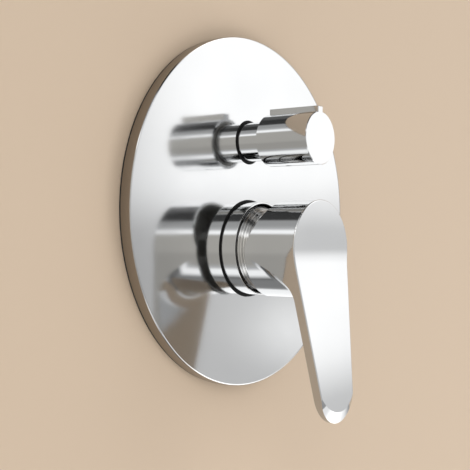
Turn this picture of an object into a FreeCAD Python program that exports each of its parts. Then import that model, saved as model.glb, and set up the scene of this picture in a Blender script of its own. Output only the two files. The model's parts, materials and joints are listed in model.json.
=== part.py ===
import FreeCAD, Part
import math
import os

from FreeCAD import Placement, Rotation, Vector

# Built-in shower valve: a round cover plate on the wall, a mixing lever below
# and a diverter knob above, with the brass body behind the wall.
# Frame in millimetres: X right, Y into the wall, Z up.
# Origin: centre of the cover plate, on the wall plane.

# Cover plate, a pressed cup that is open towards the wall
PLATE_D = 170.0
PLATE_DEPTH = 6.6  # wall to front face
PLATE_WALL = 1.2
PLATE_EDGE = 0.3  # bevel round the front edge
HOLE_EDGE = 0.2  # bevel round both holes
PLATE_STANDOFF = 1.1  # gasket's lip between the rim and the wall
GASKET_W = 4.0
GASKET_LIP_INSET = 0.3
GASKET_GAP = 0.2
LEVER_Z = -18.0
KNOB_Z = 34.0

# Mixing cartridge and its brass seat
CARTRIDGE_D = 35.0
PIVOT_OUT = 12.6  # wall to the lever's tilt axis
LIFT_DEG = 25.0
FINGER_LEN = 11.0  # tilt axis to the ball that drives the disc
BALL_R = 2.5
BALL_FLAT_R = 0.8
FINGER_R = 2.0
STEM_W = 7.8
STEM_HUB = 4.0  # square part of the stem behind the tilt axis
PIN_R = 1.5
GUIDE_R = 11.5
GUIDE_NOSE = 4.8
GUIDE_TAIL = 1.0  # ball centre to the guide's back face
GUIDE_FLANGE_R = 15.3
GUIDE_FLANGE_T = 4.0
STEM_SLOT_LEN = 15.4
TONGUE_W = 12.0
TONGUE_LEN = 15.0
TONGUE_T = 2.6
CARRIER_R = 12.6
CARRIER_T = 5.0
MOVING_DISC_R = 12.2
MOVING_DISC_T = 4.0
FLOW_RECESS = 2.2
FIXED_DISC_T = 4.5
BASE_T = 5.5
BASE_RIM_T = 2.6
PEG_R = 1.8
PEG_LEN = 2.4
SHOULDER_T = 3.6
HOUSING_WALL = 1.9
HOUSING_NECK_WALL = 2.8
PORT_R = 2.8
INLET_PORT_X = 6.2
INLET_PORT_Z = -5.0
MIXED_PORT_Z = 7.2
PORT_SEAL_D = 1.6

# Fits that repeat through the valve
RUN_FIT = 0.05  # running fit, radial
SLIDE_FIT = 0.1
PART_GAP = 0.3
SEAT_GAP = 0.2
DISC_FILM = 0.02
SEAL_SQUEEZE = 0.3
BALL_FIT = 0.15

# Neck, nut, dome and sleeve round the cartridge
CARTRIDGE_GAP = 0.25
NUT_THREAD_DEPTH = 0.6
NUT_T = 4.5
NUT_SLOT_W = 5.0
NUT_SLOT_DEPTH = 2.0
NECK_WALL = 1.3
NECK_INSET = 1.0
DOME_WALL = 1.3
DOME_INSET = 1.7  # sleeve's front edge to the edge of the cap
DOME_CAP_STEP = 1.95  # sphere of the cap, beyond the skirt's radius
DOME_OPENING_R = 14.5
DOME_SKIRT = 9.0
SKIRT_GAP = 4.0
SLEEVE_GAP = 0.7
SLEEVE_WALL = 0.8
SLEEVE_RIM = 2.7  # tilt axis to the sleeve's front edge
LAND_GAP = 0.25
LAND_LEN = 10.3
NECK_SEAL_D = 2.4

# Rubber rings that close the plate's two holes
PLATE_SEAL_W = 1.1
COLLAR_SEAL_W = 1.2
SEAL_RECESS = 0.3
SEAL_FLANGE_W = 1.8
SEAL_FLANGE_T = 2.0

# Lever
LEVER_GAP = 0.6  # dome to the inside of the lever's barrel
LEVER_WALL = 1.5
LEVER_REAR = 8.5  # tilt axis to the rear edge
LEVER_BARREL = 27.9  # rear edge to the front face
LEVER_FACE_WALL = 3.0
REAR_CUT_DEG = 22.0  # the upper rear edge slopes so that the lever can lift
REAR_CUT_START = 0.7
TIP_R = 13.7
TIP_DROP = 66.7  # lever axis to the centre of the rounded tip
LEAN_DEG = 8.0  # the blade leans away from the wall
BEND_DROP = 4.3
BEND_REACH = 6.0  # half the length of the bend
BLADE_T = 4.4
SWEEP_DEG = 41.5  # concave underside from the barrel to the blade
SWEEP_START = 16.5  # tilt axis to the sweep, at the lever's axis
SWEEP_REACH = 4.3  # half the length of its round
HOLLOW_R = 9.0  # hollow round where the sweep leaves the barrel
FACE_EDGE_R = 0.6
BEVEL_W = 5.2  # bevel at the middle of the tip, fading out to both sides
BEVEL_SPREAD = 1.9
BEVEL_DEG = 25.0
BOSS_R = 8.0
BOSS_GAP = 1.5
STEM_DEPTH = 10.0
LEVER_SCREW_R = 2.5
LEVER_SCREW_LEN = 6.0
PLUG_R = 3.0
PLUG_LEN = 2.2
PLUG_INSET = 0.3

# Brass body
BODY_STEP = 1.0
PIPE_DROP = 14.0  # cartridge seat to the pipe axes
THREAD_R = 9.3  # minor radius of a half inch pipe thread
THREAD_LEN = 16.0
UNION_WALL = 1.9
UNION_HEAD = 18.0
UNION_SPIGOT = 8.0
ARM_WALL = 1.75
CHANNEL_R = 6.0
CHANNEL_END = 7.0
MIXED_R = 4.5
LINK_R = 3.5
INLET_REACH = 60.0
OUTLET_TOP = 72.0
OUTLET_BOTTOM = 76.0
OCTAGON_STEP = 1.0  # head of a union, beyond the arm
BRIDGE_W = 22.0
BYPASS_DROP = 13.0
BYPASS_R = 5.5
BYPASS_WALL = 3.0
BYPASS_STEP = 0.5
BYPASS_TURN = 20.0
LUG_SPAN = 72.0
LUG_R = 8.0
LUG_T = 6.0
LUG_Z = 9.0
LUG_HOLE_R = 3.25

# Diverter head
DIVERTER_RISE = 8.0  # diverter seat to the pipe axes
SEAT_SEAL_T = 1.1
DIVERTER_DISC_EDGE = 0.5
DIVERTER_DISC_T = 3.5
DIVERTER_PORT_R = 2.4
DIVERTER_PITCH = 5.5
DRIVER_T = 4.0
DRIVER_W = 5.6
CAGE_WALL = 1.2
CAGE_GAP = 0.5
WINDOW_R = 1.8
BONNET_THREAD_STEP = 0.6
BONNET_THREAD_LEN = 10.0
BONNET_HEX_STEP = 1.7
BONNET_HEX_T = 5.0
BONNET_SEAL_T = 1.0
BONNET_SEAL_W = 1.4
BONNET_TUBE_WALL = 3.8
DIVERTER_WALL = 4.2
SPINDLE_R = 4.0
SPINDLE_NOSE_R = 3.6
SPINDLE_FLAT = 0.7
SPINDLE_SEAL_D = 1.0
CLIP_T = 0.8
CLIP_W = 2.3
CLIP_GROOVE = 0.7
CLIP_MOUTH = 4.4

# Diverter knob and its collar
KNOB_OUT = 20.1  # wall to the knob's rear face
KNOB_LEN = 28.3
KNOB_R = 12.5
KNOB_WALL = 2.7
KNOB_FACE_WALL = 2.5
KNOB_EDGE = 0.3
KNOB_BOSS_R = 6.3
KNOB_BOSS_INSET = 4.5
FIN_W = 4.0
FIN_H = 2.5
FIN_INSET = 0.6
COLLAR_GAP = 0.2
COLLAR_WALL = 1.4
COLLAR_LAP = 2.0
KNOB_SCREW_R = 2.0
KNOB_SCREW_LEN = 5.4
KNOB_SCREW_BACK = 11.0

# Places along the lever's axis
pivot_y = -PIVOT_OUT
ball_y = pivot_y + FINGER_LEN
guide_back_y = ball_y + GUIDE_TAIL
guide_flange_y = guide_back_y - GUIDE_FLANGE_T
guide_front_y = pivot_y - GUIDE_NOSE
carrier_front_y = guide_back_y + PART_GAP
carrier_back_y = carrier_front_y + CARRIER_T
moving_back_y = carrier_back_y + MOVING_DISC_T
fixed_front_y = moving_back_y + DISC_FILM
fixed_back_y = fixed_front_y + FIXED_DISC_T
base_front_y = fixed_back_y + SEAL_SQUEEZE
base_back_y = base_front_y + BASE_T
floor_y = base_back_y + SEAL_SQUEEZE
shoulder_y = guide_flange_y - PART_GAP - SHOULDER_T
nut_front_y = shoulder_y - NUT_T
neck_front_y = nut_front_y + NECK_INSET
skirt_back_y = pivot_y + DOME_SKIRT
land_front_y = skirt_back_y + SKIRT_GAP
body_front_y = land_front_y + LAND_LEN
sleeve_front_y = pivot_y - SLEEVE_RIM
sleeve_back_y = body_front_y - SEAT_GAP
lever_rear_y = pivot_y - LEVER_REAR
lever_front_y = lever_rear_y - LEVER_BARREL
lever_bore_y = lever_front_y + LEVER_FACE_WALL
stock_run = TIP_DROP  # raw bar and slab, past the lever
pipe_y = floor_y + PIPE_DROP

# Radii about the lever's axis, from the cartridge outwards
cartridge_r = CARTRIDGE_D / 2
housing_bore_r = cartridge_r - HOUSING_WALL
neck_bore_r = GUIDE_R + RUN_FIT
housing_neck_r = neck_bore_r + HOUSING_NECK_WALL
chamber_r = cartridge_r + CARTRIDGE_GAP
nut_r = chamber_r + NUT_THREAD_DEPTH
nut_bore_r = housing_neck_r + PART_GAP
neck_r = nut_r + RUN_FIT + NECK_WALL
dome_inner_r = neck_r + RUN_FIT
dome_r = dome_inner_r + DOME_WALL
sleeve_bore_r = dome_r + SLEEVE_GAP
sleeve_r = sleeve_bore_r + SLEEVE_WALL
lever_bore_r = dome_r + LEVER_GAP
lever_r = lever_bore_r + LEVER_WALL
body_r = sleeve_r + BODY_STEP
disc_travel = FINGER_LEN * math.sin(math.radians(LIFT_DEG))
disc_z = LEVER_Z + disc_travel / 2

# Places and radii along the knob's axis
knob_rear_y = -KNOB_OUT
knob_front_y = knob_rear_y - KNOB_LEN
seat_y = pipe_y - DIVERTER_RISE
seal_front_y = seat_y - SEAT_SEAL_T
stator_front_y = seal_front_y - DIVERTER_DISC_T
rotor_back_y = stator_front_y - DISC_FILM
rotor_front_y = rotor_back_y - DIVERTER_DISC_T
driver_front_y = rotor_front_y - DRIVER_T
cage_front_y = driver_front_y - PART_GAP
hex_back_y = cage_front_y - BONNET_THREAD_LEN
hex_front_y = hex_back_y - BONNET_HEX_T
diverter_mouth_y = hex_back_y + BONNET_SEAL_T
tube_front_y = knob_rear_y + COLLAR_LAP
collar_front_y = knob_rear_y - COLLAR_LAP
spindle_bore_r = SPINDLE_R + RUN_FIT
tube_r = spindle_bore_r + BONNET_TUBE_WALL
collar_bore_r = tube_r + COLLAR_GAP
collar_r = collar_bore_r + COLLAR_WALL
diverter_disc_r = DIVERTER_PITCH + DIVERTER_PORT_R + DIVERTER_DISC_EDGE
cage_bore_r = diverter_disc_r + SLIDE_FIT
cage_r = cage_bore_r + CAGE_WALL
bonnet_thread_r = cage_r + BONNET_THREAD_STEP
diverter_bore_r = bonnet_thread_r + RUN_FIT
diverter_r = diverter_bore_r + DIVERTER_WALL

# Arms of the body and the unions in their ends
spigot_r = THREAD_R + UNION_WALL
arm_bore_r = spigot_r + RUN_FIT
arm_r = arm_bore_r + ARM_WALL
UNIONS = {
    "hot_inlet_union": (Vector(-INLET_REACH, pipe_y, LEVER_Z), Vector(1, 0, 0)),
    "cold_inlet_union": (Vector(INLET_REACH, pipe_y, LEVER_Z), Vector(-1, 0, 0)),
    "upper_outlet_union": (Vector(0, pipe_y, OUTLET_TOP), Vector(0, 0, -1)),
    "lower_outlet_union": (Vector(0, pipe_y, -OUTLET_BOTTOM), Vector(0, 0, 1)),
}  # mouth, and the way in

# Holes in the cover plate
plate_r = PLATE_D / 2
plate_front_y = -PLATE_DEPTH
plate_back_y = plate_front_y + PLATE_WALL
lever_hole_r = sleeve_r + PLATE_SEAL_W
knob_hole_r = collar_r + COLLAR_SEAL_W


def turned(axis_z, profile):
    """Solid turned about an axis along Y; the profile is (y, radius) pairs."""
    points = [Vector(0, y, axis_z + r) for y, r in profile]
    wire = Part.makePolygon(points + points[:1])
    return Part.Face(wire).revolve(Vector(0, 0, axis_z), Vector(0, 1, 0), 360)


def tube(axis_z, y_front, y_back, r_in, r_out):
    return turned(axis_z, [(y_front, r_in), (y_front, r_out), (y_back, r_out), (y_back, r_in)])


def rod(start, end, radius):
    start = Vector(*start)
    run = Vector(*end) - start
    return Part.makeCylinder(radius, run.Length, start, run)


def block(low, high):
    low = Vector(*low)
    size = Vector(*high) - low
    return Part.makeBox(size.x, size.y, size.z, low)


def fused(pieces):
    solid = pieces[0]
    for piece in pieces[1:]:
        solid = solid.fuse(piece)
    return solid


def seal_ring(x, y, z, inner_r, section_d):
    """Rubber ring of square section, with its middle plane at this y."""
    front = (x, y - section_d / 2, z)
    back = (x, y + section_d / 2, z)
    return rod(front, back, inner_r + section_d).cut(rod(front, back, inner_r))


def prism(axis, start, length, across_flats, sides):
    """Regular bar of flats along X, Y or Z, with a flat facing each cross axis."""
    corner_r = across_flats / 2 / math.cos(math.pi / sides)
    turns = [(k + 0.5) * 2 * math.pi / sides for k in range(sides + 1)]
    corners = [Vector(corner_r * math.cos(t), corner_r * math.sin(t), 0) for t in turns]
    bar = Part.Face(Part.makePolygon(corners)).extrude(Vector(0, 0, length))
    bar.Placement = Placement(Vector(*start), Rotation(Vector(0, 0, 1), axis))
    return bar


def in_yz(outline_yz, half_width):
    """Extrude an outline of edges drawn in the YZ plane to both sides of X = 0."""
    face = Part.Face(Part.Wire(outline_yz))
    face.translate(Vector(-half_width, 0, 0))
    return face.extrude(Vector(2 * half_width, 0, 0))


def polyline_yz(points):
    corners = [Vector(0, y, z) for y, z in points]
    return Part.makePolygon(corners + corners[:1]).Edges


def rounded_corner(before, corner, after, reach):
    """Start, middle and end of the arc that rounds a corner, this far along both lines."""
    u = (before - corner).normalize()
    v = (after - corner).normalize()
    half = u.getAngle(v) / 2
    radius = reach * math.tan(half)
    middle = corner + (u + v).normalize() * (radius / math.sin(half) - radius)
    return corner + u * reach, middle, corner + v * reach


# Cover plate and its seals


def cover_plate():
    cup = turned(0, [
        (plate_front_y, 0),
        (plate_front_y, plate_r - PLATE_EDGE),
        (plate_front_y + PLATE_EDGE, plate_r),
        (-PLATE_STANDOFF, plate_r),
        (-PLATE_STANDOFF, plate_r - PLATE_WALL),
        (plate_back_y, plate_r - PLATE_WALL),
        (plate_back_y, 0),
    ])
    for axis_z, hole_r in ((LEVER_Z, lever_hole_r), (KNOB_Z, knob_hole_r)):
        hole = turned(axis_z, [
            (plate_front_y, 0),
            (plate_front_y, hole_r + HOLE_EDGE),
            (plate_front_y + HOLE_EDGE, hole_r),
            (plate_back_y, hole_r),
            (plate_back_y, 0),
        ])
        cup = cup.cut(hole)
    return cup


def plate_gasket():
    """Foam ring inside the cup, with a lip that the plate's rim presses to the wall."""
    outer_r = plate_r - PLATE_WALL - GASKET_GAP
    inner_r = outer_r - GASKET_W
    lip_r = plate_r - GASKET_LIP_INSET
    return turned(0, [
        (plate_back_y, inner_r),
        (plate_back_y, outer_r),
        (-PLATE_STANDOFF, outer_r),
        (-PLATE_STANDOFF, lip_r),
        (0, lip_r),
        (0, inner_r),
    ])


def plate_seal(axis_z, inner_r, hole_r):
    """Stepped rubber ring: a lip inside the plate's hole and a flange behind it."""
    lip_r = hole_r - RUN_FIT
    flange_front_y = plate_back_y + RUN_FIT
    flange_back_y = flange_front_y + SEAL_FLANGE_T
    return turned(axis_z, [
        (plate_front_y + SEAL_RECESS, inner_r + RUN_FIT),
        (plate_front_y + SEAL_RECESS, lip_r),
        (flange_front_y, lip_r),
        (flange_front_y, lip_r + SEAL_FLANGE_W),
        (flange_back_y, lip_r + SEAL_FLANGE_W),
        (flange_back_y, inner_r + RUN_FIT),
    ])


# Fixed pieces round the lever's axis


def lever_sleeve():
    return tube(LEVER_Z, sleeve_front_y, sleeve_back_y, sleeve_bore_r, sleeve_r)


def dome_cap():
    """Shallow spherical cover, bored conical, screwed to the neck by its skirt."""
    edge_y = sleeve_front_y + DOME_INSET
    cap_r = dome_r + DOME_CAP_STEP
    centre_y = edge_y + math.sqrt(cap_r ** 2 - dome_r ** 2)

    def on_cap(radius, r):
        return Vector(0, centre_y - math.sqrt(radius ** 2 - r ** 2), LEVER_Z + r)

    middle_r = (DOME_OPENING_R + dome_r) / 2
    outer_rim = on_cap(cap_r, DOME_OPENING_R)
    inner_rim = on_cap(cap_r - DOME_WALL, DOME_OPENING_R)
    outer_edge = on_cap(cap_r, dome_r)
    inner_edge = Vector(0, edge_y + DOME_WALL, LEVER_Z + dome_inner_r)
    outer_foot = Vector(0, skirt_back_y, LEVER_Z + dome_r)
    inner_foot = Vector(0, skirt_back_y, LEVER_Z + dome_inner_r)
    outline = [
        Part.Arc(outer_rim, on_cap(cap_r, middle_r), outer_edge).toShape(),
        Part.makeLine(outer_edge, outer_foot),
        Part.makeLine(outer_foot, inner_foot),
        Part.makeLine(inner_foot, inner_edge),
        Part.makeLine(inner_edge, inner_rim),
        Part.makeLine(inner_rim, outer_rim),
    ]
    face = Part.Face(Part.Wire(outline))
    return face.revolve(Vector(0, 0, LEVER_Z), Vector(0, 1, 0), 360)


def retaining_nut():
    nut = tube(LEVER_Z, nut_front_y, shoulder_y, nut_bore_r, nut_r)
    half = NUT_SLOT_W / 2
    slot_back_y = nut_front_y + NUT_SLOT_DEPTH
    across = block((-nut_r, nut_front_y, LEVER_Z - half), (nut_r, slot_back_y, LEVER_Z + half))
    upright = block((-half, nut_front_y, LEVER_Z - nut_r), (half, slot_back_y, LEVER_Z + nut_r))
    return nut.cut(across).cut(upright)


def neck_seal():
    y = land_front_y + LAND_LEN / 2
    inner_r = sleeve_bore_r - RUN_FIT - NECK_SEAL_D
    return seal_ring(0, y, LEVER_Z, inner_r, NECK_SEAL_D)


# Mixing cartridge


def port_places():
    """Hot, cold and mixed ports, as offsets from the lever's axis."""
    return [(-INLET_PORT_X, INLET_PORT_Z), (INLET_PORT_X, INLET_PORT_Z), (0, MIXED_PORT_Z)]


def port_holes(y_front, y_back, radius):
    return [rod((x, y_front, LEVER_Z + z), (x, y_back, LEVER_Z + z), radius) for x, z in port_places()]


def port_seals(y_middle):
    inner_r = PORT_R + SLIDE_FIT
    rings = [seal_ring(x, y_middle, LEVER_Z + z, inner_r, PORT_SEAL_D) for x, z in port_places()]
    return Part.makeCompound(rings)


def cartridge_housing():
    cavity_front_y = guide_flange_y - PART_GAP
    housing_back_y = base_back_y - BASE_RIM_T
    return turned(LEVER_Z, [
        (guide_front_y, neck_bore_r),
        (guide_front_y, housing_neck_r),
        (shoulder_y, housing_neck_r),
        (shoulder_y, cartridge_r),
        (housing_back_y, cartridge_r),
        (housing_back_y, housing_bore_r),
        (cavity_front_y, housing_bore_r),
        (cavity_front_y, neck_bore_r),
    ])


def turn_guide():
    """Rotor of the cartridge: a slotted nose, and a flange grooved for the disc carrier."""
    guide = turned(LEVER_Z, [
        (guide_front_y, 0),
        (guide_front_y, GUIDE_R),
        (guide_flange_y, GUIDE_R),
        (guide_flange_y, GUIDE_FLANGE_R),
        (guide_back_y, GUIDE_FLANGE_R),
        (guide_back_y, 0),
    ])
    half_w = STEM_W / 2 + SLIDE_FIT
    half_l = STEM_SLOT_LEN / 2
    slot = block((-half_w, guide_front_y, LEVER_Z - half_l), (half_w, guide_back_y, LEVER_Z + half_l))
    groove_half = TONGUE_W / 2 + SLIDE_FIT
    groove_front_y = guide_back_y - TONGUE_T - PART_GAP
    groove = block(
        (-groove_half, groove_front_y, LEVER_Z - GUIDE_FLANGE_R),
        (groove_half, guide_back_y, LEVER_Z + GUIDE_FLANGE_R),
    )
    pin_hole = rod((-GUIDE_R, pivot_y, LEVER_Z), (GUIDE_R, pivot_y, LEVER_Z), PIN_R + RUN_FIT)
    return guide.cut(slot).cut(groove).cut(pin_hole)


def stem_pivot_pin():
    half = GUIDE_R - PART_GAP
    return rod((-half, pivot_y, LEVER_Z), (half, pivot_y, LEVER_Z), PIN_R)


def cartridge_stem():
    """Square bar on the tilt pin, with a ball-ended finger behind it."""
    half = STEM_W / 2
    front_y = boss_rear_y() - STEM_DEPTH
    hub_y = pivot_y + STEM_HUB
    bar = block((-half, front_y, LEVER_Z - half), (half, hub_y, LEVER_Z + half))
    root = Vector(0, hub_y, LEVER_Z)
    side = root + Vector(0, 0, FINGER_R)
    waist = Vector(0, ball_y - math.sqrt(BALL_R ** 2 - FINGER_R ** 2), LEVER_Z + FINGER_R)
    crown = Vector(0, ball_y, LEVER_Z + BALL_R)
    end = Vector(0, ball_y + math.sqrt(BALL_R ** 2 - BALL_FLAT_R ** 2), LEVER_Z)
    rim = end + Vector(0, 0, BALL_FLAT_R)
    outline = [
        Part.makeLine(root, side),
        Part.makeLine(side, waist),
        Part.Arc(waist, crown, rim).toShape(),
        Part.makeLine(rim, end),
        Part.makeLine(end, root),
    ]
    finger = Part.Face(Part.Wire(outline)).revolve(root, Vector(0, 1, 0), 360)
    pin_hole = rod((-half, pivot_y, LEVER_Z), (half, pivot_y, LEVER_Z), PIN_R + RUN_FIT)
    return bar.fuse(finger).cut(pin_hole)


def disc_carrier():
    """Carrier at rest: half a stroke above the axis, driven down as the lever lifts."""
    plate = rod((0, carrier_front_y, disc_z), (0, carrier_back_y, disc_z), CARRIER_R)
    half_w = TONGUE_W / 2
    half_l = TONGUE_LEN / 2
    tongue_front_y = carrier_front_y - TONGUE_T
    tongue = block(
        (-half_w, tongue_front_y, disc_z - half_l),
        (half_w, carrier_front_y, disc_z + half_l),
    )
    pocket_y = ball_y + BALL_R + PART_GAP
    pocket = rod((0, tongue_front_y, LEVER_Z), (0, pocket_y, LEVER_Z), BALL_R + BALL_FIT)
    return plate.fuse(tongue).cut(pocket).removeSplitter()


def moving_disc():
    """Ceramic disc with a blind recess that joins the ports when it slides down."""
    disc = rod((0, carrier_back_y, disc_z), (0, moving_back_y, disc_z), MOVING_DISC_R)
    recess_z = disc_z + INLET_PORT_Z / 2
    recess_front_y = moving_back_y - FLOW_RECESS
    recess = rod((0, recess_front_y, recess_z), (0, moving_back_y, recess_z), MOVING_DISC_R / 2)
    return disc.cut(recess)


def fixed_disc():
    disc_r = housing_bore_r - SLIDE_FIT
    disc = rod((0, fixed_front_y, LEVER_Z), (0, fixed_back_y, LEVER_Z), disc_r)
    for hole in port_holes(fixed_front_y, fixed_back_y, PORT_R):
        disc = disc.cut(hole)
    return disc


def cartridge_base():
    """Base with three ports, a ring groove round each on both faces and two pegs."""
    rim_front_y = base_back_y - BASE_RIM_T
    spigot_r = housing_bore_r - SLIDE_FIT
    base = turned(LEVER_Z, [
        (base_front_y, 0),
        (base_front_y, spigot_r),
        (rim_front_y, spigot_r),
        (rim_front_y, cartridge_r),
        (base_back_y, cartridge_r),
        (base_back_y, 0),
    ])
    groove_r = PORT_R + PORT_SEAL_D + 2 * SLIDE_FIT
    groove_depth = PORT_SEAL_D - SEAL_SQUEEZE + RUN_FIT
    cuts = port_holes(base_front_y, base_back_y, PORT_R)
    cuts += port_holes(base_front_y, base_front_y + groove_depth, groove_r)
    cuts += port_holes(base_back_y - groove_depth, base_back_y, groove_r)
    for hole in cuts:
        base = base.cut(hole)
    for x in peg_places():
        peg = rod((x, rim_front_y, LEVER_Z), (x, base_back_y + PEG_LEN, LEVER_Z), PEG_R)
        base = base.fuse(peg)
    return base.removeSplitter()


def peg_places():
    reach = housing_bore_r - PEG_R
    return [-reach, reach]


# Lever


def boss_rear_y():
    return pivot_y - dome_r - BOSS_GAP


def lever_screw_y():
    return boss_rear_y() - STEM_DEPTH / 2


def lever_outline():
    """Front view: the barrel's circle and the tip's circle joined by their tangents."""
    slope = math.asin((lever_r - TIP_R) / TIP_DROP)
    tip_z = LEVER_Z - TIP_DROP
    side = Vector(math.cos(slope), 0, -math.sin(slope))
    other = Vector(-math.cos(slope), 0, -math.sin(slope))
    top = Vector(0, 0, LEVER_Z)
    tip = Vector(0, 0, tip_z)
    up = Vector(0, 0, 1)
    crown = Part.Arc(top + side * lever_r, top + up * lever_r, top + other * lever_r)
    toe = Part.Arc(tip + other * TIP_R, tip - up * TIP_R, tip + side * TIP_R)
    return Part.Wire([
        crown.toShape(),
        Part.makeLine(top + other * lever_r, tip + other * TIP_R),
        toe.toShape(),
        Part.makeLine(tip + side * TIP_R, top + side * lever_r),
    ])


def face_point(drop):
    """Point on the blade's sloping front plane, this far below the lever's axis."""
    y = lever_front_y - (drop - BEND_DROP) * math.tan(math.radians(LEAN_DEG))
    return Vector(0, y, LEVER_Z - drop)


def lever_side():
    """Side view: flat face, gentle bend, leaning face; the upper rear edge slopes forward."""
    above = Vector(0, 0, lever_r + BEND_REACH)
    axis = Vector(0, 0, LEVER_Z)
    cut_start = axis + Vector(0, lever_rear_y, REAR_CUT_START)
    cut_run = (above.z - REAR_CUT_START) * math.tan(math.radians(REAR_CUT_DEG))
    cut_end = axis + above + Vector(0, lever_rear_y - cut_run, 0)
    face_top = axis + above + Vector(0, lever_front_y, 0)
    face_low = face_point(TIP_DROP + 2 * TIP_R)
    rear_low = Vector(0, lever_rear_y, face_low.z)
    bend = rounded_corner(face_top, face_point(BEND_DROP), face_low, BEND_REACH)
    return [
        Part.makeLine(face_top, bend[0]),
        Part.Arc(*bend).toShape(),
        Part.makeLine(bend[2], face_low),
        Part.makeLine(face_low, rear_low),
        Part.makeLine(rear_low, cut_start),
        Part.makeLine(cut_start, cut_end),
        Part.makeLine(cut_end, face_top),
    ]


def blade_back():
    """Side view of the slab: concave sweep from the barrel, then the back of the blade."""
    lean = math.tan(math.radians(LEAN_DEG))
    sweep = math.tan(math.radians(SWEEP_DEG))
    sweep_mid = Vector(0, pivot_y - SWEEP_START, LEVER_Z)
    back_y = face_point(0).y + BLADE_T * math.hypot(1, lean)
    meet = (sweep_mid.y - back_y) / (sweep - lean)
    knee = sweep_mid - Vector(0, sweep, 1) * meet
    top = sweep_mid + Vector(0, sweep, 1) * stock_run
    low = knee - Vector(0, lean, 1) * stock_run
    front_y = low.y - stock_run
    turn = rounded_corner(low, knee, top, SWEEP_REACH)
    return [
        Part.makeLine(low, turn[0]),
        Part.Arc(*turn).toShape(),
        Part.makeLine(turn[2], top),
        Part.makeLine(top, Vector(0, front_y, top.z)),
        Part.makeLine(Vector(0, front_y, top.z), Vector(0, front_y, low.z)),
        Part.makeLine(Vector(0, front_y, low.z), low),
    ]


def barrel_and_slab():
    """Round bar through the slab of the blade, with a hollow round where they meet."""
    slab = in_yz(blade_back(), stock_run)
    bar = rod((0, lever_rear_y + stock_run, LEVER_Z), (0, lever_front_y - stock_run, LEVER_Z), lever_r)
    stock = slab.fuse(bar)

    def on_bar(point):
        return abs(math.hypot(point.x, point.z - LEVER_Z) - lever_r) < SLIDE_FIT

    bar_end_y = lever_rear_y + stock_run - SLIDE_FIT
    meeting = []
    for edge in stock.Edges:
        points = edge.discretize(9)
        crosswise = edge.BoundBox.XLength > SLIDE_FIT
        if crosswise and all(on_bar(p) and p.y < bar_end_y for p in points):
            meeting.append(edge)
    return stock.makeFillet(HOLLOW_R, meeting)


def tip_bevel():
    """Half a cone that slopes the tip's front edge away, square to the leaning face."""
    inner_r = TIP_R + BEVEL_SPREAD
    centre_drop = TIP_DROP + TIP_R - BEVEL_W - inner_r
    outer_r = 2 * inner_r
    fall = (outer_r - inner_r) * math.tan(math.radians(BEVEL_DEG))
    points = [Vector(inner_r, 0, 0), Vector(outer_r, 0, outer_r), Vector(outer_r, 0, -fall)]
    wire = Part.makePolygon(points + points[:1])
    cone = Part.Face(wire).revolve(Vector(0, 0, 0), Vector(0, 0, -1), 180)
    lean = math.radians(LEAN_DEG)
    normal = Vector(0, -math.cos(lean), math.sin(lean))
    cone.Placement = Placement(face_point(centre_drop), Rotation(Vector(0, 0, 1), normal))
    return cone


def front_edges(shape):
    """Edges where the lever's side meets its front face, without the lines across the face."""
    def near_face(point):
        drop = max(LEVER_Z - point.z, BEND_DROP)
        return point.y < face_point(drop).y + BLADE_T / 2

    front = []
    for edge in shape.Edges:
        across = edge.BoundBox.ZLength < FACE_EDGE_R and edge.BoundBox.XLength > lever_r
        if not across and all(near_face(p) for p in edge.discretize(5)):
            front.append(edge)
    return front


def lever_handle():
    outline = Part.Face(lever_outline())
    outline.translate(Vector(0, lever_rear_y, 0))
    depth = lever_rear_y - face_point(TIP_DROP + 2 * TIP_R).y
    blank = outline.extrude(Vector(0, -depth, 0)).common(in_yz(lever_side(), 2 * lever_r))
    handle = barrel_and_slab().common(blank)
    handle = handle.makeFillet(FACE_EDGE_R, front_edges(handle))
    handle = handle.cut(tip_bevel())
    bore = rod((0, pivot_y, LEVER_Z), (0, lever_bore_y, LEVER_Z), lever_bore_r)
    boss = rod((0, boss_rear_y(), LEVER_Z), (0, lever_bore_y, LEVER_Z), BOSS_R)
    half = STEM_W / 2 + SLIDE_FIT
    socket_y = boss_rear_y() - STEM_DEPTH - PART_GAP
    socket = block((-half, socket_y, LEVER_Z - half), (half, boss_rear_y(), LEVER_Z + half))
    y = lever_screw_y()
    screw_hole = rod((0, y, LEVER_Z), (0, y, LEVER_Z - lever_bore_r), LEVER_SCREW_R + RUN_FIT)
    plug_hole = rod((0, y, LEVER_Z - BOSS_R - PART_GAP), (0, y, LEVER_Z - lever_r), PLUG_R + RUN_FIT)
    handle = handle.cut(bore).fuse(boss)
    return handle.cut(socket).cut(screw_hole).cut(plug_hole)


def lever_grub_screw():
    y = lever_screw_y()
    tip_z = LEVER_Z - STEM_W / 2 - RUN_FIT
    return socket_screw((0, y, tip_z), LEVER_SCREW_R, LEVER_SCREW_LEN)


def lever_plug():
    y = lever_screw_y()
    outer_z = LEVER_Z - lever_r + PLUG_INSET
    return rod((0, y, outer_z), (0, y, outer_z + PLUG_LEN), PLUG_R)


def socket_screw(tip, radius, length):
    """Grub screw with a cone tip upwards and a hexagon socket in its lower end."""
    x, y, z = tip
    low_z = z - length
    body = rod((x, y, low_z), (x, y, z - radius / 2), radius)
    point = Part.makeCone(radius, radius / 2, radius / 2, Vector(x, y, z - radius / 2))
    socket = prism(Vector(0, 0, 1), (x, y, low_z), radius, radius, 6)
    return body.fuse(point).cut(socket).removeSplitter()


# Brass body


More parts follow.
